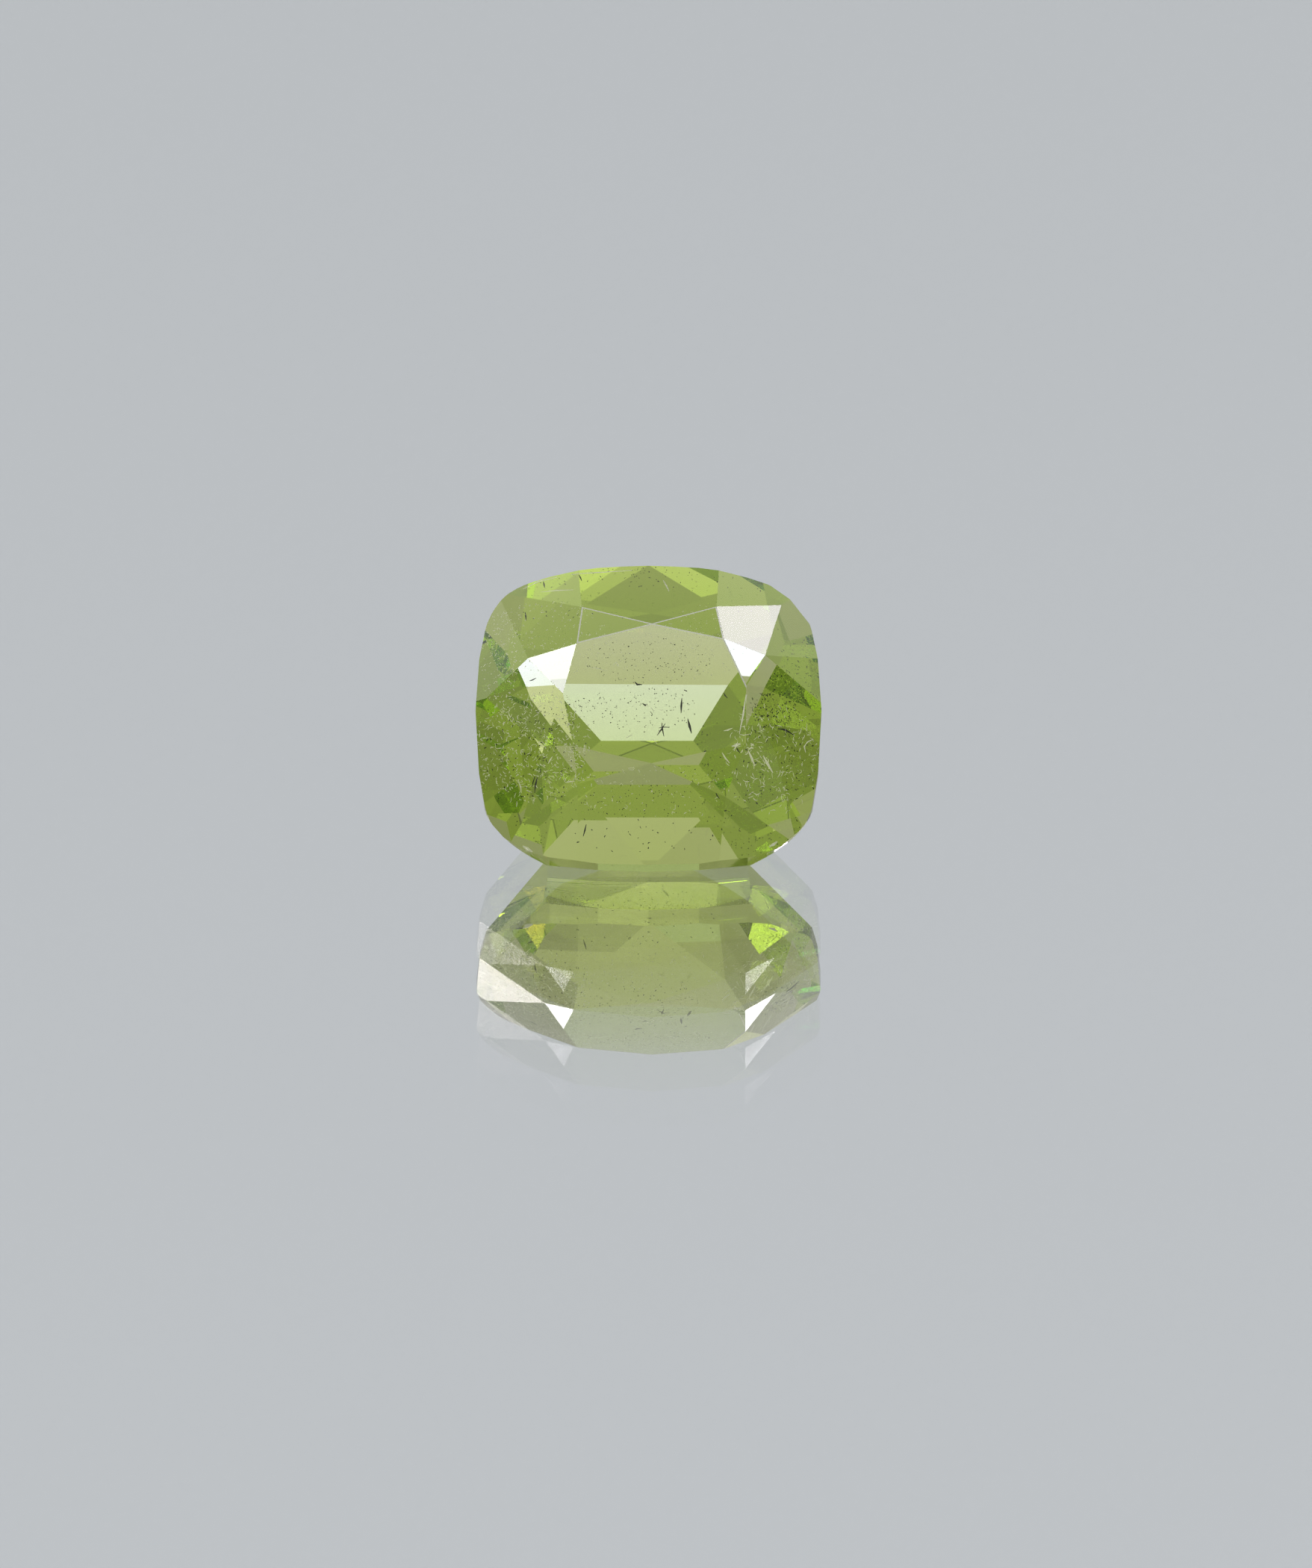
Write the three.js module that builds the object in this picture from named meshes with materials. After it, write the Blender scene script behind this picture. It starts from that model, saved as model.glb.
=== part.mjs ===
// A native-cut cushion peridot, resting on the long facet of its underside.
//
// The stone is first laid out in its own frame, as on a cutter's dop: x along the
// long side, y across, z out through the table, with the upper edge of the girdle
// at z = 0. Every facet is a flat plane. The crown is a brilliant: a table, eight
// main facets, eight stars and sixteen halves. The pavilion is a step cut: eight
// mains below the girdle, then four facets that close on a short keel.

import * as THREE from 'three';
import { ConvexGeometry } from 'three/addons/geometries/ConvexGeometry.js';

// Girdle outline, in millimetres: four long arcs joined by corner arcs
const halfLength = 4.47;
const halfWidth = 4.26;
const longSideRadius = 11.7;
const shortSideRadius = 14.3;
const cornerRadius = 1.83;
const girdleThickness = 0.13;
const girdleFlats = 56;

// Heights above and below the girdle, in millimetres
const crownHeight = 1.38;
const keelDepth = 3.98;

// Crown mains: index and slope in degrees, then the corner of the table that each
// one meets, in millimetres, and how far its tip stops short of the girdle
const crownMains = [
  { name: 'east', index: 1.2, slope: 29.1, corner: [2.53, 0.21], tip: -0.19 },
  { name: 'northEast', index: 47.5, slope: 30.8, corner: [1.94, 1.56], tip: 0.17 },
  { name: 'north', index: 90.2, slope: 31.5, corner: [0.09, 1.98], tip: 0 },
  { name: 'northWest', index: 135.7, slope: 28.8, corner: [-1.85, 1.45], tip: -0.12 },
  { name: 'west', index: 179.7, slope: 23.6, corner: [-2.22, 0.01], tip: -0.03 },
  { name: 'southWest', index: 230.9, slope: 27, corner: [-1.95, -1.47], tip: -0.06 },
  { name: 'south', index: 265.3, slope: 28.9, corner: [0.07, -1.96], tip: -0.05 },
  { name: 'southEast', index: 315.4, slope: 31.3, corner: [2.52, -1.4], tip: -0.12 },
];
const starDrop = [0.21, 0.29, 0.29, 0.29, 0.15, 0.24, 0.255, 0.3]; // share of the crown height
const mainTipIndex = [0, 42, 90, 138, 180, 222, 270, 318]; // where each main aims at the girdle
const halfTipIndex = [20, 66, 114, 160, 200, 246, 294, 340]; // where two halves meet on the girdle

// Pavilion mains: index and slope in degrees, and how far each is cut in from the
// lower edge of the girdle, in millimetres
const pavilionMains = [
  { name: 'east', index: 3.6, slope: 49.9, inset: -0.18 },
  { name: 'northEast', index: 43.1, slope: 53.7, inset: 0.06 },
  { name: 'north', index: 89.9, slope: 46.5, inset: 0.13 },
  { name: 'northWest', index: 138, slope: 53.6, inset: -0.05 },
  { name: 'west', index: 180.8, slope: 55.7, inset: 0.07 },
  { name: 'southWest', index: 224.2, slope: 53.2, inset: 0.02 },
  { name: 'south', index: 270, slope: 43.7, inset: -0.22 },
  { name: 'southEast', index: 315.4, slope: 52.7, inset: 0 },
];
const restingFacet = 6; // the stone lies on its south pavilion main

// Facets that close on the keel: index, slope, and the end of the keel they pass through
const keelEnds = [[-1.24, 0.04], [1.17, 0.04]];
const keelFacets = [
  { name: 'east', index: 0, slope: 49.3, end: 1 },
  { name: 'north', index: 90, slope: 38.4, end: 0 },
  { name: 'west', index: 180, slope: 38.6, end: 0 },
  { name: 'south', index: 270, slope: 35.2, end: 0 },
];

const meetTolerance = 2e-3; // corners nearer than this are one meeting point, in millimetres
const planeTolerance = 1e-6; // a corner this far outside a facet still lies on it, in millimetres
const alikeTolerance = 1e-9; // three facets whose directions span less than this have no meeting point

const turn = (degrees) => THREE.MathUtils.degToRad(degrees);
const heading = (index) => new THREE.Vector2(Math.cos(turn(index)), Math.sin(turn(index)));

// The centre and radius of the arc that joins a long-side arc to a short-side arc
function cornerArc() {
  const longCentre = new THREE.Vector2(0, halfWidth - longSideRadius);
  const shortCentre = new THREE.Vector2(halfLength - shortSideRadius, 0);
  const fromLong = longSideRadius - cornerRadius;
  const fromShort = shortSideRadius - cornerRadius;
  const across = shortCentre.clone().sub(longCentre);
  const span = across.length();
  const along = (fromLong ** 2 - fromShort ** 2 + span ** 2) / (2 * span);
  const aside = Math.sqrt(fromLong ** 2 - along ** 2);
  across.normalize();
  const centre = longCentre.clone().addScaledVector(across, along);
  centre.addScaledVector(new THREE.Vector2(-across.y, across.x), aside);
  if (centre.x < 0 || centre.y < 0) centre.addScaledVector(new THREE.Vector2(-across.y, across.x), -2 * aside);
  return { centre, longCentre, shortCentre };
}

// How far the outline reaches from the centre line in the direction of an index
function outlineReach(index) {
  const { centre, longCentre, shortCentre } = cornerArc();
  const way = heading(index);
  const ahead = new THREE.Vector2(Math.abs(way.x), Math.abs(way.y));
  const bearing = ahead.angle();
  const longEnds = centre.clone().sub(longCentre).angle();
  const shortEnds = centre.clone().sub(shortCentre).angle();
  if (bearing > longEnds) return longCentre.dot(ahead) + longSideRadius;
  if (bearing < shortEnds) return shortCentre.dot(ahead) + shortSideRadius;
  return centre.dot(ahead) + cornerRadius;
}

// A facet is a plane whose normal points out of the stone
function facetThrough(a, b, c) {
  const plane = new THREE.Plane().setFromCoplanarPoints(a, b, c);
  return plane.constant > 0 ? plane.negate() : plane;
}

function facetAt(index, slope, point, side) {
  const way = heading(index);
  const normal = new THREE.Vector3(
    way.x * Math.sin(turn(slope)), way.y * Math.sin(turn(slope)), side * Math.cos(turn(slope)));
  return new THREE.Plane().setFromNormalAndCoplanarPoint(normal, point);
}

// The point where three facets meet, or null where two of them run alike
function meetPoint(a, b, c) {
  const rows = new THREE.Matrix3().set(...a.normal.toArray(), ...b.normal.toArray(), ...c.normal.toArray());
  if (Math.abs(rows.determinant()) < alikeTolerance) return null;
  return new THREE.Vector3(-a.constant, -b.constant, -c.constant).applyMatrix3(rows.invert());
}

// The girdle wall: a ring of narrow flats, each touching the outline
function girdleWall() {
  return Array.from({ length: girdleFlats }, (_, k) => {
    const index = (k + 0.5) * 360 / girdleFlats;
    const way = heading(index);
    return new THREE.Plane(new THREE.Vector3(way.x, way.y, 0), -outlineReach(index));
  });
}

// Where a line from the centre along an index crosses the girdle wall
function girdlePoint(index, wall, height) {
  const way = heading(index);
  const reach = Math.min(...wall
    .map((flat) => [-flat.constant, flat.normal.x * way.x + flat.normal.y * way.y])
    .filter(([, lean]) => lean > 0)
    .map(([distance, lean]) => distance / lean));
  return new THREE.Vector3(way.x * reach, way.y * reach, height);
}

// The crown: table, mains, then stars and halves placed by the points where they meet
function crownFacets(wall) {
  const table = new THREE.Plane(new THREE.Vector3(0, 0, 1), -crownHeight);
  const corners = crownMains.map(({ corner }) => new THREE.Vector3(...corner, crownHeight));
  const mains = crownMains.map(({ index, slope }, k) => facetAt(index, slope, corners[k], 1));
  const stars = [];
  const halves = [];
  mains.forEach((main, k) => {
    const next = (k + 1) % mains.length;
    const level = new THREE.Plane(new THREE.Vector3(0, 0, 1), -crownHeight * (1 - starDrop[k]));
    const apex = meetPoint(main, mains[next], level);
    stars.push(facetThrough(corners[k], corners[next], apex));
    const low = girdlePoint(halfTipIndex[k], wall, 0);
    for (const side of [k, next]) halves.push(facetThrough(apex, mainTip(side, mains[side], corners[side], wall), low));
  });
  return [table, ...mains, ...stars, ...halves];
}

// The outer tip of a crown main, on its plane, short of the girdle by its tip share
function mainTip(k, main, corner, wall) {
  const rim = girdlePoint(mainTipIndex[k], wall, 0);
  const tip = rim.lerp(corner, crownMains[k].tip);
  tip.z = -(main.constant + main.normal.x * tip.x + main.normal.y * tip.y) / main.normal.z;
  return tip;
}

// The pavilion: mains hung from the lower edge of the girdle, and the facets of the keel
function pavilionFacets(wall) {
  const rim = wall.map((flat, k) => meetPoint(flat, wall[(k + 1) % wall.length],
    new THREE.Plane(new THREE.Vector3(0, 0, 1), girdleThickness)));
  const mains = pavilionMains.map(({ index, slope, inset }) => {
    const way = heading(index);
    const reach = (point) => point.x * way.x + point.y * way.y;
    const outermost = rim.reduce((best, point) => (reach(point) > reach(best) ? point : best));
    const touch = outermost.clone().sub(new THREE.Vector3(way.x * inset, way.y * inset, 0));
    return facetAt(index, slope, touch, -1);
  });
  const keel = keelFacets.map(({ index, slope, end }) => {
    const point = new THREE.Vector3(...keelEnds[end], -girdleThickness - keelDepth);
    return facetAt(index, slope, point, -1);
  });
  return [...mains, ...keel];
}

// The corners of the stone: every meeting of three facets that no other facet cuts off
function stoneCorners(facets) {
  const corners = [];
  const outside = (point) => facets.some((facet) => facet.distanceToPoint(point) > planeTolerance);
  const known = (point) => corners.some((corner) => corner.distanceTo(point) < meetTolerance);
  for (let i = 0; i < facets.length; i++) {
    for (let j = i + 1; j < facets.length; j++) {
      for (let k = j + 1; k < facets.length; k++) {
        const point = meetPoint(facets[i], facets[j], facets[k]);
        if (point && !outside(point) && !known(point)) corners.push(point);
      }
    }
  }
  return corners;
}

function peridot() {
  const wall = girdleWall();
  const pavilion = pavilionFacets(wall);
  const corners = stoneCorners([...wall, ...crownFacets(wall), ...pavilion]);
  const material = new THREE.MeshStandardMaterial({ color: 0x9db84e, roughness: 0.04, metalness: 0 });
  const stone = new THREE.Mesh(new ConvexGeometry(corners), material);
  stone.name = 'peridot';
  return { stone, rest: pavilion[restingFacet] };
}

// Lay the stone down: tip its table forward and up until the resting facet is level,
// then set that facet on z = 0 with the middle of the stone over the origin
function laidDown({ stone, rest }) {
  const tilt = new THREE.Quaternion().setFromUnitVectors(rest.normal, new THREE.Vector3(0, 0, -1));
  stone.quaternion.copy(tilt);
  stone.updateMatrixWorld(true);
  const box = new THREE.Box3().setFromObject(stone, true);
  const middle = box.getCenter(new THREE.Vector3());
  stone.position.set(-middle.x, -middle.y, -rest.constant);
  return stone;
}

const group = new THREE.Group();
group.add(laidDown(peridot()));

export default group;
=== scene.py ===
import math
import random

import bmesh
import bpy
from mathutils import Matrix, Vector
from mathutils.bvhtree import BVHTree


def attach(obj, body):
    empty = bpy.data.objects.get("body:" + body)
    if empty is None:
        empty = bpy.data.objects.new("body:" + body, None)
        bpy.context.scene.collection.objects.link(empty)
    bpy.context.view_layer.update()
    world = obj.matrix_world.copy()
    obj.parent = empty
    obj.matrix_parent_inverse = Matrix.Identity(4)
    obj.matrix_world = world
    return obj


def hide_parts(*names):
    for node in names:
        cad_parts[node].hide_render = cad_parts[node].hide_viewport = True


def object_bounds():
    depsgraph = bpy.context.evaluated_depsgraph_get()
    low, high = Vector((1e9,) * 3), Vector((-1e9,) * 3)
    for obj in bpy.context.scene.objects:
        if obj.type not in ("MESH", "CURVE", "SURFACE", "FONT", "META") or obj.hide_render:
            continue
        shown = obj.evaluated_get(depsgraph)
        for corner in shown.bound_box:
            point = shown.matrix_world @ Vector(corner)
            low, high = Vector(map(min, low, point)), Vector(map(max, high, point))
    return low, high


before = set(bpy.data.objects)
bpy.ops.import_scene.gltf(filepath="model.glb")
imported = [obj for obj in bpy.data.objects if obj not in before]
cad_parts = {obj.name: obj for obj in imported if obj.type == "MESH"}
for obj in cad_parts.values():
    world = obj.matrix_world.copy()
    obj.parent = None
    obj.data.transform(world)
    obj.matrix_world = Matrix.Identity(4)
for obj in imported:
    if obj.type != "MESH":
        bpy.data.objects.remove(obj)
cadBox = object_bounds()

mm = 0.001
scene = bpy.context.scene
scene.view_settings.view_transform = "Standard"


# Camera: a long lens, looking a little down on the stone from the table side
cameraSettings = {
    "elevation": 22.9,  # degrees above the floor
    "distance": 0.5,  # metres from the stone
    "sensor": 36,  # mm, along the long side of the picture
    "pictureWidth": 1757,
    "pictureHeight": 2100,
    "outlineLeft": 637,  # where the stone's outline lies in the photograph, in its pixels
    "outlineRight": 1100,
    "tableTop": 838,  # and its table
    "tableBottom": 1020,
    "nearest": 0.1,  # shares of the distance between which the camera sees
    "farthest": 20,
}


def viewAxes():
    lift = math.radians(cameraSettings["elevation"])
    forward = Vector((0, math.cos(lift), -math.sin(lift)))
    up = Vector((0, math.sin(lift), math.cos(lift)))
    return Vector((1, 0, 0)), forward, up


# How the solid is read as whole facets. Its table is the largest one that looks up and to the front
facetReading = {
    "weld": 1e-8,  # metres
    "flatWithin": 0.2,  # degrees between two triangles of one facet
    "tableUpward": 0.2,  # the table's normal leans up and to the front by more than these
    "tableForward": 0.3,
}


def facetedStone():
    s = facetReading
    work = bmesh.new()
    work.from_mesh(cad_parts["peridot"].data)
    bmesh.ops.remove_doubles(work, verts=work.verts, dist=s["weld"])
    flat = math.radians(s["flatWithin"])
    bmesh.ops.dissolve_limit(work, angle_limit=flat, verts=work.verts, edges=work.edges)
    work.normal_update()
    upward = [f for f in work.faces if f.normal.z > s["tableUpward"]]
    facing = [f for f in upward if f.normal.y < -s["tableForward"]]
    return work, max(facing, key=lambda f: f.calc_area())


def makeCamera():
    s = cameraSettings
    right, forward, up = viewAxes()
    work, table = facetedStone()
    across = [right.dot(v.co) for v in work.verts]
    above = [up.dot(v.co) for v in table.verts]
    work.free()
    # How many metres one pixel of the photograph spans at the stone
    pixel = (max(across) - min(across)) / (s["outlineRight"] - s["outlineLeft"])
    outlineMiddle = (s["outlineLeft"] + s["outlineRight"]) / 2
    aimAcross = (max(across) + min(across)) / 2 - (outlineMiddle - s["pictureWidth"] / 2) * pixel
    tableMiddle = (s["tableTop"] + s["tableBottom"]) / 2
    aimAbove = (max(above) + min(above)) / 2 - (s["pictureHeight"] / 2 - tableMiddle) * pixel
    middle = sum(cadBox, Vector()) / 2
    aim = right * aimAcross + up * aimAbove + forward * forward.dot(middle)
    data = bpy.data.cameras.new("photoCamera")
    data.sensor_width = s["sensor"]
    data.lens = s["sensor"] * s["distance"] / (s["pictureHeight"] * pixel)
    data.clip_start = s["distance"] * s["nearest"]
    data.clip_end = s["distance"] * s["farthest"]
    camera = bpy.data.objects.new("photoCamera", data)
    camera.location = aim - forward * s["distance"]
    camera.rotation_mode = "QUATERNION"
    camera.rotation_quaternion = forward.to_track_quat("-Z", "Y")
    scene.collection.objects.link(camera)
    scene.camera = camera
    return camera, pixel


camera, pixel = makeCamera()
print("camera at", tuple(round(v, 4) for v in camera.location),
      "pixel", round(pixel / mm, 5), "mm")


# Light travels through many facets before it leaves the stone
scene.cycles.max_bounces = 32
scene.cycles.glossy_bounces = 24
scene.cycles.transmission_bounces = 24
scene.cycles.transparent_max_bounces = 16
scene.cycles.caustics_reflective = True
scene.cycles.caustics_refractive = True


# Studio: pale grey paper all round, brighter overhead and behind, with soft cards and softboxes
studioWrap = {
    "tint": (1.0, 0.97, 0.95),
    "backdropTint": (0.97, 1.015, 1.055),  # the paper seen behind the stone is cooler
    "base": 0.41,  # radiance level with the floor
    "across": -0.06,  # more from the right, level with the floor
    "acrossAbove": 0.18,  # more from the right, higher up
    "away": -0.05,  # more from behind the stone
    "awayAbove": 0.43,  # more from behind the stone, high up
    "sides": -0.25,  # less straight ahead and behind than at the sides
    "overhead": 0.30,
    "darkest": 0.05,
}
cardEdge = 0.2  # share of its half angle over which a card fades, inward and outward
# White and black cards: azimuth, elevation and half angle in degrees, and the radiance each one adds
studioCards = {
    "backdrop": (90, 23, 5, 0.203),
    "lowLeft": (148, 33, 7, 0.84),
    "leftHigh": (152, 49, 12, 0.29),
    "lowBack": (116, 33, 12, 0.54),
    "highBack": (120, 73, 7, 0.44),
    "overhead": (0, 89, 12, 0.33),
    "lowRight": (42, 33, 12, 0.79),
    "midRight": (60, 41, 12, 0.59),
    "highTop": (271, 80.5, 2.5, 0.25),
    "frontRight": (323, 26, 9, 0.18),
    "lowFront": (305, 12, 14, 0.12),
    "backHigh": (90, 58.5, 2, 0.5),
    "backLow": (90, 9, 9, 0.21),
    "frontHigh": (268, 57, 12, 0.04),
    "blackTop": (279, 74.5, 2.5, -0.12),
    "blackBack": (115, 57, 12, -0.16),
    "blackRight": (10, 25, 20, -0.37),
    "blackByLamp": (55, 49, 12, -0.36),
    "blackLeft": (200, 25, 7, -0.29),
    "blackFront": (279, 3, 20, -0.07),
}
# A real stone splits light into colours, so most of these show red on one rim and blue on the other:
# fringe gives how far the two are moved apart, in degrees across and up
softboxes = [
    {"name": "softboxRight", "azimuth": 52.4, "elevation": 50.3, "halfAngle": 5.2, "radiance": 7.0,
     "tint": (0.95, 0.82, 1.08), "fringe": (0.4, 0.0)},
    {"name": "softboxLeft", "azimuth": 191.7, "elevation": 58.4, "halfAngle": 5.1, "radiance": 9.0,
     "tint": (1.0, 1.0, 1.1), "fringe": (0.0, 0.4)},
    {"name": "softboxBack", "azimuth": 89.7, "elevation": 53.2, "halfAngle": 3.6, "radiance": 0.5,
     "tint": (0.72, 0.76, 1.6), "fringe": (0.0, 0.0)},
    {"name": "sparkByTable", "azimuth": 136, "elevation": 73, "halfAngle": 4, "radiance": 1.2,
     "tint": (0.85, 0.8, 2.7), "fringe": (0.0, 0.0)},
    {"name": "sparkLeft", "azimuth": 54, "elevation": 67.5, "halfAngle": 4, "radiance": 0.45,
     "tint": (0.5, 0.6, 1.0), "fringe": (0.0, 0.0)},
    {"name": "sparkLowLeft", "azimuth": 55, "elevation": 60, "halfAngle": 3, "radiance": 1.3,
     "tint": (0.9, 0.86, 1.9), "fringe": (0.0, 0.0)},
    {"name": "mirrorSparkLeft", "azimuth": 119, "elevation": 64, "halfAngle": 1.6, "radiance": 9.0,
     "tint": (1.0, 0.98, 1.0), "fringe": (0.2, 0.0)},
    {"name": "mirrorSparkRight", "azimuth": 61, "elevation": 53, "halfAngle": 1.6, "radiance": 8.0,
     "tint": (1.0, 0.98, 1.0), "fringe": (0.2, 0.0)},
    {"name": "mirrorPink", "azimuth": 149, "elevation": 55, "halfAngle": 1.5, "radiance": 6.5,
     "tint": (1.0, 0.93, 0.92), "fringe": (0.2, 0.0)},
]
softboxMake = {
    "distance": 0.6,  # metres from the stone
    "rim": 0.04,  # share of the radius over which a softbox fades out
    "corners": 48,
    "spare": 1.02,  # how much wider its sheet is than the light on it
}


def skyWay(azimuth, elevation):
    flat = math.cos(math.radians(elevation))
    turn = math.radians(azimuth)
    return Vector((flat * math.cos(turn), flat * math.sin(turn), math.sin(math.radians(elevation))))


def makeWorld():
    world = bpy.data.worlds.new("studioWrap")
    world.use_nodes = True
    scene.world = world
    tree = world.node_tree
    tree.nodes.clear()
    place = tree.nodes.new("ShaderNodeTexCoord")
    split = tree.nodes.new("ShaderNodeSeparateXYZ")
    tree.links.new(place.outputs["Generated"], split.inputs[0])
    x, y = split.outputs["X"], split.outputs["Y"]
    z = mathNode(tree, "ABSOLUTE", split.outputs["Z"])
    zz = mathNode(tree, "MULTIPLY", z, z)
    yy = mathNode(tree, "MULTIPLY", y, y)
    shapes = {
        "across": x,
        "acrossAbove": mathNode(tree, "MULTIPLY", x, z),
        "away": y,
        "awayAbove": mathNode(tree, "MULTIPLY", y, zz),
        "sides": mathNode(tree, "MULTIPLY", yy, z),
        "overhead": zz,
    }
    level = studioWrap["base"]
    for name, shape in shapes.items():
        level = mathNode(tree, "MULTIPLY_ADD", shape, studioWrap[name], level)
    above = tree.nodes.new("ShaderNodeCombineXYZ")
    for socket, value in zip(above.inputs, (x, y, z)):
        tree.links.new(value, socket)
    masks = {}
    for name, (azimuth, elevation, halfAngle, radiance) in studioCards.items():
        near = tree.nodes.new("ShaderNodeVectorMath")
        near.operation = "DOT_PRODUCT"
        near.inputs[1].default_value = skyWay(azimuth, elevation)
        tree.links.new(above.outputs[0], near.inputs[0])
        card = tree.nodes.new("ShaderNodeMapRange")
        card.interpolation_type = "SMOOTHSTEP"
        card.inputs["From Min"].default_value = math.cos(math.radians(halfAngle * (1 + cardEdge)))
        card.inputs["From Max"].default_value = math.cos(math.radians(halfAngle * (1 - cardEdge)))
        tree.links.new(near.outputs["Value"], card.inputs["Value"])
        masks[name] = card.outputs["Result"]
        level = mathNode(tree, "MULTIPLY_ADD", masks[name], radiance, level)
    level = mathNode(tree, "MAXIMUM", level, studioWrap["darkest"])
    paper = tree.nodes.new("ShaderNodeMix")
    paper.data_type = "RGBA"
    paper.inputs["A"].default_value = (*studioWrap["tint"], 1)
    paper.inputs["B"].default_value = (*studioWrap["backdropTint"], 1)
    tree.links.new(masks["backdrop"], paper.inputs["Factor"])
    background = tree.nodes.new("ShaderNodeBackground")
    tree.links.new(paper.outputs["Result"], background.inputs["Color"])
    tree.links.new(level, background.inputs["Strength"])
    output = tree.nodes.new("ShaderNodeOutputWorld")
    tree.links.new(background.outputs[0], output.inputs["Surface"])


def mathNode(tree, operation, *values):
    node = tree.nodes.new("ShaderNodeMath")
    node.operation = operation
    for socket, value in zip(node.inputs, values):
        if isinstance(value, (int, float)):
            socket.default_value = value
        else:
            tree.links.new(value, socket)
    return node.outputs[0]


def newMaterial(name):
    material = bpy.data.materials.new(name)
    material.use_nodes = True
    material.node_tree.nodes.clear()
    return material, material.node_tree


def addObject(name, mesh, materials=()):
    thing = bpy.data.objects.new(name, mesh)
    for material in materials:
        mesh.materials.append(material)
    scene.collection.objects.link(thing)
    return thing


def makeFringedDisc():
    group = bpy.data.node_groups.new("fringedDisc", "ShaderNodeTree")
    group.interface.new_socket("Spot", in_out="INPUT", socket_type="NodeSocketVector")
    group.interface.new_socket("Fringe", in_out="INPUT", socket_type="NodeSocketVector")
    group.interface.new_socket("Radius", in_out="INPUT", socket_type="NodeSocketFloat")
    group.interface.new_socket("Tint", in_out="INPUT", socket_type="NodeSocketColor")
    group.interface.new_socket("Color", in_out="OUTPUT", socket_type="NodeSocketColor")
    given = group.nodes.new("NodeGroupInput")
    inner = mathNode(group, "MULTIPLY", given.outputs["Radius"], 1 - softboxMake["rim"])
    join = group.nodes.new("ShaderNodeCombineColor")
    for channel, side in zip(("Red", "Green", "Blue"), (-1, 0, 1)):
        moved = group.nodes.new("ShaderNodeVectorMath")
        moved.operation = "MULTIPLY_ADD"
        moved.inputs[1].default_value = (side, side, side)
        group.links.new(given.outputs["Fringe"], moved.inputs[0])
        group.links.new(given.outputs["Spot"], moved.inputs[2])
        reach = group.nodes.new("ShaderNodeVectorMath")
        reach.operation = "LENGTH"
        group.links.new(moved.outputs[0], reach.inputs[0])
        lit = group.nodes.new("ShaderNodeMapRange")
        group.links.new(reach.outputs["Value"], lit.inputs["Value"])
        group.links.new(given.outputs["Radius"], lit.inputs["From Min"])
        group.links.new(inner, lit.inputs["From Max"])
        group.links.new(lit.outputs["Result"], join.inputs[channel])
    tinted = group.nodes.new("ShaderNodeVectorMath")
    tinted.operation = "MULTIPLY"
    group.links.new(join.outputs[0], tinted.inputs[0])
    group.links.new(given.outputs["Tint"], tinted.inputs[1])
    result = group.nodes.new("NodeGroupOutput")
    group.links.new(tinted.outputs[0], result.inputs["Color"])
    return group


def angleReach(degrees):
    return softboxMake["distance"] * math.tan(math.radians(degrees))


def makeSoftbox(settings):
    radius = angleReach(settings["halfAngle"])
    fringe = Vector([angleReach(degrees) for degrees in settings["fringe"]] + [0])
    material, tree = newMaterial(settings["name"])
    place = tree.nodes.new("ShaderNodeTexCoord")
    disc = tree.nodes.new("ShaderNodeGroup")
    disc.node_tree = fringedDisc
    disc.inputs["Fringe"].default_value = fringe
    disc.inputs["Radius"].default_value = radius
    disc.inputs["Tint"].default_value = (*settings["tint"], 1)
    tree.links.new(place.outputs["Object"], disc.inputs["Spot"])
    glow = tree.nodes.new("ShaderNodeEmission")
    glow.inputs["Strength"].default_value = settings["radiance"]
    clear = tree.nodes.new("ShaderNodeBsdfTransparent")
    both = tree.nodes.new("ShaderNodeAddShader")
    output = tree.nodes.new("ShaderNodeOutputMaterial")
    tree.links.new(disc.outputs["Color"], glow.inputs["Color"])
    tree.links.new(glow.outputs[0], both.inputs[0])
    tree.links.new(clear.outputs[0], both.inputs[1])
    tree.links.new(both.outputs[0], output.inputs["Surface"])
    work = bmesh.new()
    bmesh.ops.create_circle(work, cap_ends=True, segments=softboxMake["corners"],
                            radius=(radius + fringe.length) * softboxMake["spare"])
    mesh = bpy.data.meshes.new(settings["name"])
    work.to_mesh(mesh)
    work.free()
    box = addObject(settings["name"], mesh, [material])
    way = skyWay(settings["azimuth"], settings["elevation"])
    box.location = sum(cadBox, Vector()) / 2 + way * softboxMake["distance"]
    box.rotation_mode = "QUATERNION"
    box.rotation_quaternion = way.to_track_quat("Z", "Y")


# Floor: a plate of mirror glass, silvered underneath
floorSettings = {
    "halfSize": 1.0,  # metres
    "gap": 0.01 * mm,  # under the stone
    "glassDepth": 0.53 * mm,  # how far the silvered face seems to lie below the upper one
    "glassShine": 0.19,  # share of light that the upper face sends back
    "silver": (0.95, 0.95, 0.95),
}


def makePlane(name, height, material):
    size = floorSettings["halfSize"]
    corners = [(x * size, y * size, height) for x, y in ((-1, -1), (1, -1), (1, 1), (-1, 1))]
    mesh = bpy.data.meshes.new(name)
    mesh.from_pydata(corners, [], [(0, 1, 2, 3)])
    plane = addObject(name, mesh, [material])


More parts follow.
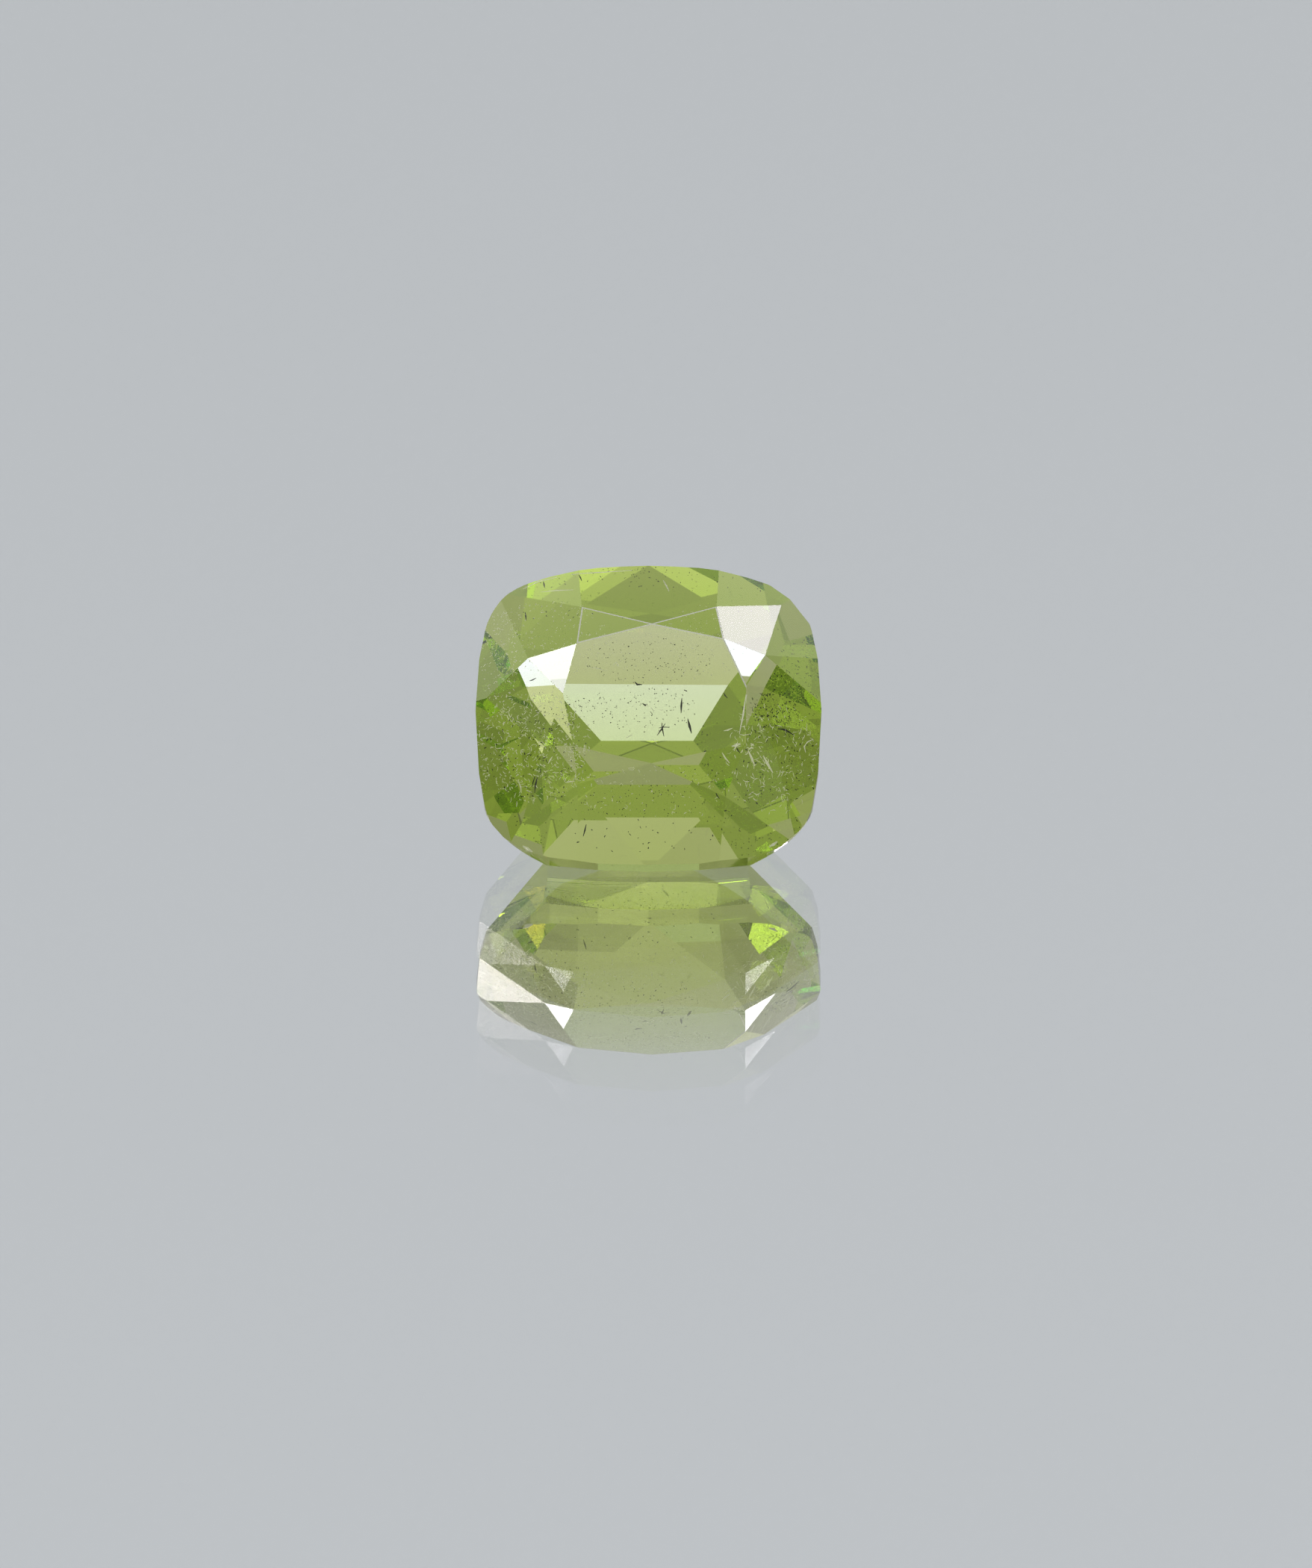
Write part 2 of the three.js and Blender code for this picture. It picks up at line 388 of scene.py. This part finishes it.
def makeFloor():
    s = floorSettings
    glass, tree = newMaterial("floorGlass")
    clear = tree.nodes.new("ShaderNodeBsdfTransparent")
    gloss = tree.nodes.new("ShaderNodeBsdfAnisotropic")
    gloss.inputs["Roughness"].default_value = 0
    mix = tree.nodes.new("ShaderNodeMixShader")
    output = tree.nodes.new("ShaderNodeOutputMaterial")
    mix.inputs["Fac"].default_value = s["glassShine"]
    tree.links.new(clear.outputs[0], mix.inputs[1])
    tree.links.new(gloss.outputs[0], mix.inputs[2])
    tree.links.new(mix.outputs[0], output.inputs["Surface"])
    makePlane("floorGlass", -s["gap"], glass)

    silver, tree = newMaterial("floorSilver")
    gloss = tree.nodes.new("ShaderNodeBsdfAnisotropic")
    gloss.inputs["Roughness"].default_value = 0
    gloss.inputs["Color"].default_value = (*s["silver"], 1)
    output = tree.nodes.new("ShaderNodeOutputMaterial")
    tree.links.new(gloss.outputs[0], output.inputs["Surface"])
    makePlane("floorSilver", -s["gap"] - s["glassDepth"], silver)


makeWorld()
fringedDisc = makeFringedDisc()
for settings in softboxes:
    makeSoftbox(settings)
makeFloor()
print("studio and floor made")


# Stone
stoneSettings = {
    "ior": 1.648,
    "absorbPerMm": (0.061, 0.033, 0.208),  # red, green, blue lost in each millimetre
    "densest": 300,  # per metre, more than the largest loss
    "wearWidth": 0.02 * mm,  # half the width of a worn facet junction
    "wearRoughness": 0.35,
    "wearClearness": 0.45,  # the rest of a worn junction is chalky
    "girdleRoughness": 0.12,
    "girdleLean": 0.02,  # a girdle flat stands square to the table within this
}


def crystalMaterial(name, roughness, clearness=1.0):
    s = stoneSettings
    material, tree = newMaterial(name)
    skin = tree.nodes.new("ShaderNodeBsdfPrincipled")
    skin.inputs["Base Color"].default_value = (1, 1, 1, 1)
    skin.inputs["Roughness"].default_value = roughness
    skin.inputs["IOR"].default_value = s["ior"]
    skin.inputs["Transmission Weight"].default_value = clearness
    body = tree.nodes.new("ShaderNodeVolumeAbsorption")
    body.inputs["Density"].default_value = s["densest"]
    keeps = [1 - loss / mm / s["densest"] for loss in s["absorbPerMm"]]
    body.inputs["Color"].default_value = (*keeps, 1)
    output = tree.nodes.new("ShaderNodeOutputMaterial")
    tree.links.new(skin.outputs[0], output.inputs["Surface"])
    tree.links.new(body.outputs[0], output.inputs["Volume"])
    return material


def makeStone():
    s = stoneSettings
    work, table = facetedStone()
    way = table.normal.copy()
    for face in work.faces:
        face.smooth = False
        face.material_index = 1 if abs(face.normal.dot(way)) < s["girdleLean"] else 0
    upper = table.calc_center_median().z
    rim = [e for e in table.edges if min(v.co.z for v in e.verts) > upper]
    stars = [f for e in rim for f in e.link_faces if f != table and len(f.verts) == 3]
    highest = sorted(stars, key=lambda f: f.calc_center_median().z)[-2:]
    worn = list(dict.fromkeys(rim + [e for f in highest for e in f.edges]))
    bmesh.ops.bevel(work, geom=worn, offset=s["wearWidth"], offset_type="OFFSET", segments=1, profile=0.5,
                    affect="EDGES", clamp_overlap=False, material=2)
    mesh = bpy.data.meshes.new("peridotCrystal")
    work.to_mesh(mesh)
    work.free()
    finishes = [
        crystalMaterial("peridotPolished", 0),
        crystalMaterial("peridotGirdle", s["girdleRoughness"]),
        crystalMaterial("peridotWorn", s["wearRoughness"], s["wearClearness"]),
    ]
    stone = addObject("peridotCrystal", mesh, finishes)
    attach(stone, "root")
    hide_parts("peridot")
    return stone, way


stone, tableWay = makeStone()
print("stone made,", len(stone.data.polygons), "facets and worn junctions, table faces",
      tuple(round(v, 3) for v in tableWay))


# What lies inside the stone: fine curled threads, specks and a few larger marks, and painted glints of
# light just under the girdle
# A zone is an ellipse of the photograph, in its pixels, and what is in it lies behind the crown there.
# Lengths and depths are in mm
inclusionZones = {
    "paleThreads": [
        {"middle": (715, 1000), "reach": (75, 78), "count": 620,
         "length": (0.04, 0.17), "depth": (0.1, 1.2)},
        {"middle": (1035, 1015), "reach": (62, 75), "count": 230,
         "length": (0.05, 0.22), "depth": (0.1, 1.2)},
        {"middle": (735, 855), "reach": (85, 50), "count": 260,
         "length": (0.03, 0.09), "depth": (0.1, 0.6)},
        {"middle": (668, 880), "reach": (26, 62), "count": 170,
         "length": (0.03, 0.09), "depth": (0.05, 0.5)},
        {"middle": (880, 1060), "reach": (120, 34), "count": 110,
         "length": (0.03, 0.12), "depth": (0.2, 1.0)},
        {"middle": (870, 880), "reach": (90, 34), "count": 160,
         "length": (0.02, 0.06), "depth": (0.05, 0.5)},
        {"middle": (940, 860), "reach": (60, 50), "count": 110,
         "length": (0.02, 0.07), "depth": (0.1, 0.8)},
    ],
    "darkSpecks": [
        {"middle": (850, 950), "reach": (85, 32), "count": 150,
         "length": (0.02, 0.05), "depth": (0.4, 2.4)},
        {"middle": (870, 885), "reach": (85, 32), "count": 130,
         "length": (0.015, 0.04), "depth": (0.1, 0.8)},
        {"middle": (735, 950), "reach": (28, 30), "count": 26,
         "length": (0.02, 0.06), "depth": (0.3, 1.0)},
        {"middle": (860, 1118), "reach": (100, 24), "count": 26,
         "length": (0.03, 0.09), "depth": (0.3, 1.0)},
        {"middle": (720, 1010), "reach": (70, 60), "count": 120,
         "length": (0.03, 0.09), "depth": (0.3, 1.8)},
        {"middle": (1036, 950), "reach": (32, 26), "count": 150,
         "length": (0.03, 0.1), "depth": (0.3, 1.4)},
    ],
}
threadSettings = {
    "thickness": 0.018 * mm,
    "speckThickness": 0.024 * mm,
    "bends": 3,
    "curl": 0.9,  # most radians turned at each bend
    "sides": 3,
    "tip": 0.35,  # share of the thickness left at either end
    "swell": (0.8, 1.3),  # least and most share of it between them
    "spread": (0.6, 1.4),  # least and most share from one thread to another
    "underSkin": 0.01 * mm,  # where the way through the stone is measured from
    "deepest": 0.85,  # share of the way through the stone
}


def photoRay(x, y):
    s = cameraSettings
    right, forward, up = viewAxes()
    focal = s["distance"] / pixel
    aside = (x - s["pictureWidth"] / 2) / focal
    above = (s["pictureHeight"] / 2 - y) / focal
    return camera.location.copy(), (forward + right * aside + up * above).normalized()


def bent(way, normal, ior):
    lean = -way.dot(normal)
    inner = math.sqrt(1 - (1 - lean * lean) / ior ** 2)
    return way / ior + normal * (lean / ior - inner)


def insideStone(x, y, depth):
    s = threadSettings
    start, way = photoRay(x, y)
    spot, normal, _, _ = stoneSkin.ray_cast(start, way)
    if spot is None:
        return None
    inward = bent(way, normal, stoneSettings["ior"])
    far = stoneSkin.ray_cast(spot + inward * s["underSkin"], inward)[3]
    return spot + inward * min(depth, far * s["deepest"])


def addThread(corners, faces, path, thickness, draw):
    s = threadSettings
    sides = s["sides"]
    first = len(corners)
    for k, point in enumerate(path):
        ahead = (path[min(k + 1, len(path) - 1)] - path[max(k - 1, 0)]).normalized()
        side = ahead.orthogonal().normalized()
        other = ahead.cross(side)
        girth = thickness / 2 * (s["tip"] if k in (0, len(path) - 1) else draw.uniform(*s["swell"]))
        for j in range(sides):
            angle = 2 * math.pi * j / sides
            corners.append(point + side * math.cos(angle) * girth + other * math.sin(angle) * girth)
    for k in range(len(path) - 1):
        for j in range(sides):
            low = first + k * sides
            after = (j + 1) % sides
            faces.append((low + j, low + after, low + sides + after, low + sides + j))
    faces.append(tuple(first + j for j in reversed(range(sides))))
    last = first + (len(path) - 1) * sides
    faces.append(tuple(last + j for j in range(sides)))


def randomWay(draw):
    return Vector((draw.gauss(0, 1), draw.gauss(0, 1), draw.gauss(0, 1))).normalized()


def curlFrom(point, length, draw):
    s = threadSettings
    way = randomWay(draw)
    turnAxis = way.cross(randomWay(draw)).normalized()
    path = [point]
    for _ in range(s["bends"]):
        path.append(path[-1] + way * length / s["bends"])
        way = (way + turnAxis.cross(way) * draw.uniform(0, s["curl"])).normalized()
    return path


# The pale finish glows: painted light that keeps pale threads and marks bright inside the glass, where
# little lamp light reaches them
inclusionFinishes = {
    "pale": {"color": (0.92, 0.95, 0.72), "roughness": 0.6, "glow": 0.22},
    "dark": {"color": (0.03, 0.04, 0.02), "roughness": 0.6, "glow": 0.0},
}
inclusionSeeds = {"paleThreads": 7, "darkSpecks": 8, "paleMarksAndPaintedGlints": 9, "darkMarks": 10}


def inclusionMaterial(shade):
    s = inclusionFinishes[shade]
    material, tree = newMaterial(shade + "Inclusion")
    skin = tree.nodes.new("ShaderNodeBsdfPrincipled")
    skin.inputs["Base Color"].default_value = (*s["color"], 1)
    skin.inputs["Roughness"].default_value = s["roughness"]
    # Emission: a painted glow for the pale finish, none for the dark
    skin.inputs["Emission Color"].default_value = (*s["color"], 1)
    skin.inputs["Emission Strength"].default_value = s["glow"]
    output = tree.nodes.new("ShaderNodeOutputMaterial")
    tree.links.new(skin.outputs[0], output.inputs["Surface"])
    return material


def makeInclusions(name, thickness, material):
    draw = random.Random(inclusionSeeds[name])
    corners, faces = [], []
    for zone in inclusionZones[name]:
        for _ in range(zone["count"]):
            angle = draw.uniform(0, 2 * math.pi)
            reach = math.sqrt(draw.random())
            x = zone["middle"][0] + zone["reach"][0] * reach * math.cos(angle)
            y = zone["middle"][1] + zone["reach"][1] * reach * math.sin(angle)
            point = insideStone(x, y, draw.uniform(*zone["depth"]) * mm)
            if point is not None:
                path = curlFrom(point, draw.uniform(*zone["length"]) * mm, draw)
                addThread(corners, faces, path, thickness * draw.uniform(*threadSettings["spread"]), draw)
    ridingPiece(name, corners, faces, material)


def ridingPiece(name, corners, faces, material):
    mesh = bpy.data.meshes.new(name)
    mesh.from_pydata(corners, [], faces)
    piece = addObject(name, mesh, [material])
    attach(piece, "root")


# Single marks that can be made out in the photograph: their run and width in its pixels, and depth in mm.
# The pale ones glow with painted light, and the girdle and corner glints are painted highlights
paleMarksAndPaintedGlints = {
    "curlOnTable": {"run": [(821, 891), (825, 887), (829, 893)], "width": 2.0, "depth": 0.1},
    "faintStreak": {"run": [(790, 894), (800, 895), (812, 899)], "width": 1.0, "depth": 0.1},
    "brightBitA": {"run": [(865, 943), (868, 946)], "width": 2.4, "depth": 0.3},
    "brightBitB": {"run": [(872, 948), (876, 953)], "width": 3.0, "depth": 0.3},
    "brightBitC": {"run": [(883, 951), (888, 951)], "width": 2.6, "depth": 0.3},
    "brightBitD": {"run": [(839, 988), (847, 984)], "width": 3.0, "depth": 0.3},
    "brightBitE": {"run": [(874, 990), (880, 996)], "width": 2.0, "depth": 0.3},
    "curlAtRight": {"run": [(1089, 990), (1081, 994), (1077, 1000), (1079, 1008)],
                   "width": 2.2, "depth": 0.15},
    "starAtRight": {"run": [(980, 1000), (985, 999), (992, 997)], "width": 2.6, "depth": 0.12},
    "starAtRightUpright": {"run": [(983, 1006), (986, 999), (988, 993)], "width": 2.2, "depth": 0.12},
    "needleAtRight": {"run": [(1000, 930), (995, 956), (990, 983)], "width": 2.6, "depth": 0.1},
    "needleFoot": {"run": [(990, 983), (996, 985), (1004, 983)], "width": 1.6, "depth": 0.1},
    "strokeA": {"run": [(1002, 1005), (1006, 1014), (1011, 1026)], "width": 3.4, "depth": 0.5},
    "strokeB": {"run": [(1022, 1012), (1028, 1023), (1035, 1035)], "width": 3.8, "depth": 0.5},
    "strokeC": {"run": [(967, 1008), (971, 1015), (977, 1022)], "width": 3.0, "depth": 0.5},
    "strokeD": {"run": [(1002, 1004), (1007, 1001), (1010, 999)], "width": 3.2, "depth": 0.5},
    "strokeE": {"run": [(969, 979), (975, 978), (981, 975)], "width": 2.4, "depth": 0.4},
    "scratchAtTop": {"run": [(888, 777), (892, 784), (896, 792)], "width": 2.2, "depth": 0.04},
    "dashLeft": {"run": [(734, 1023), (737, 1018), (740, 1013)], "width": 2.2, "depth": 0.5},
    "dashLowerLeft": {"run": [(757, 1048), (764, 1047), (770, 1046)], "width": 2.4, "depth": 0.5},
    "glintLeft": {"run": [(777, 1018), (781, 1020)], "width": 3.0, "depth": 0.4},
    # Painted highlights: glints of light along the girdle and at its lower corners, laid as glowing pale
    # marks just under the skin
    "paintedGirdleGlintLeft": {"run": [(700, 789), (721, 779), (746, 773)], "width": 2.6, "depth": 0.04},
    "paintedGirdleGlintTop": {"run": [(765, 770), (800, 767), (846, 764)], "width": 2.8, "depth": 0.04},
    "streakAtTopLeft": {"run": [(724, 793), (745, 791), (768, 790)], "width": 2.2, "depth": 0.08},
    "paintedCornerGlintLeft": {"run": [(700, 1133), (706, 1137), (713, 1141)], "width": 4.5, "depth": 0.04},
    "paintedCornerGlintRight": {"run": [(1030, 1134), (1036, 1131), (1041, 1127)], "width": 4.5, "depth": 0.04},
    "spikeLeft": {"run": [(694, 1046), (697, 1054), (698, 1062)], "width": 2.4, "depth": 0.4},
}
darkMarks = {
    "needleInTable": {"run": [(913, 935), (912, 945), (912, 955)], "width": 3.2, "depth": 0.6},
    "crossUpright": {"run": [(886, 968), (887, 977), (889, 986)], "width": 2.4, "depth": 0.6},
    "crossLeaning": {"run": [(880, 985), (886, 977), (891, 969)], "width": 2.4, "depth": 0.6},
    "crossFlat": {"run": [(882, 975), (888, 974), (897, 974)], "width": 1.8, "depth": 0.6},
    "wedgeInTable": {"run": [(921, 963), (923, 972), (926, 982)], "width": 3.6, "depth": 0.6},
    "softDot": {"run": [(916, 924), (920, 926)], "width": 4.5, "depth": 0.6},
    "nickAtEdge": {"run": [(850, 913), (853, 917), (860, 917)], "width": 3.0, "depth": 0.6},
    "flakeA": {"run": [(860, 942), (864, 945), (867, 943)], "width": 3.0, "depth": 0.6},
    "flakeB": {"run": [(871, 953), (874, 957)], "width": 2.6, "depth": 0.6},
    "dotAtTop": {"run": [(856, 785), (860, 785)], "width": 2.6, "depth": 0.08},
    "flakeInGlare": {"run": [(709, 912), (713, 911), (718, 908)], "width": 2.4, "depth": 0.08},
    "darkVeinLeft": {"run": [(716, 1040), (717, 1050), (716, 1060)], "width": 3.0, "depth": 0.6},
    "darkStreakLow": {"run": [(785, 1104), (783, 1112), (781, 1120)], "width": 2.6, "depth": 0.3},
    "darkPatchRight": {"run": [(1042, 976), (1052, 978), (1064, 985)], "width": 4.0, "depth": 0.7},
}


def makeMarks(name, marks, material):
    draw = random.Random(inclusionSeeds[name])
    corners, faces = [], []
    for mark in marks.values():
        path = [insideStone(x, y, mark["depth"] * mm) for x, y in mark["run"]]
        if all(point is not None for point in path):
            addThread(corners, faces, path, mark["width"] * pixel, draw)
    ridingPiece(name, corners, faces, material)


skinCorners = [v.co for v in stone.data.vertices]
stoneSkin = BVHTree.FromPolygons(skinCorners, [p.vertices for p in stone.data.polygons])
paleFinishWithPaintedGlow = inclusionMaterial("pale")
darkFinish = inclusionMaterial("dark")
makeInclusions("paleThreads", threadSettings["thickness"], paleFinishWithPaintedGlow)
makeInclusions("darkSpecks", threadSettings["speckThickness"], darkFinish)
makeMarks("paleMarksAndPaintedGlints", paleMarksAndPaintedGlints, paleFinishWithPaintedGlow)
makeMarks("darkMarks", darkMarks, darkFinish)
print("inclusions made")
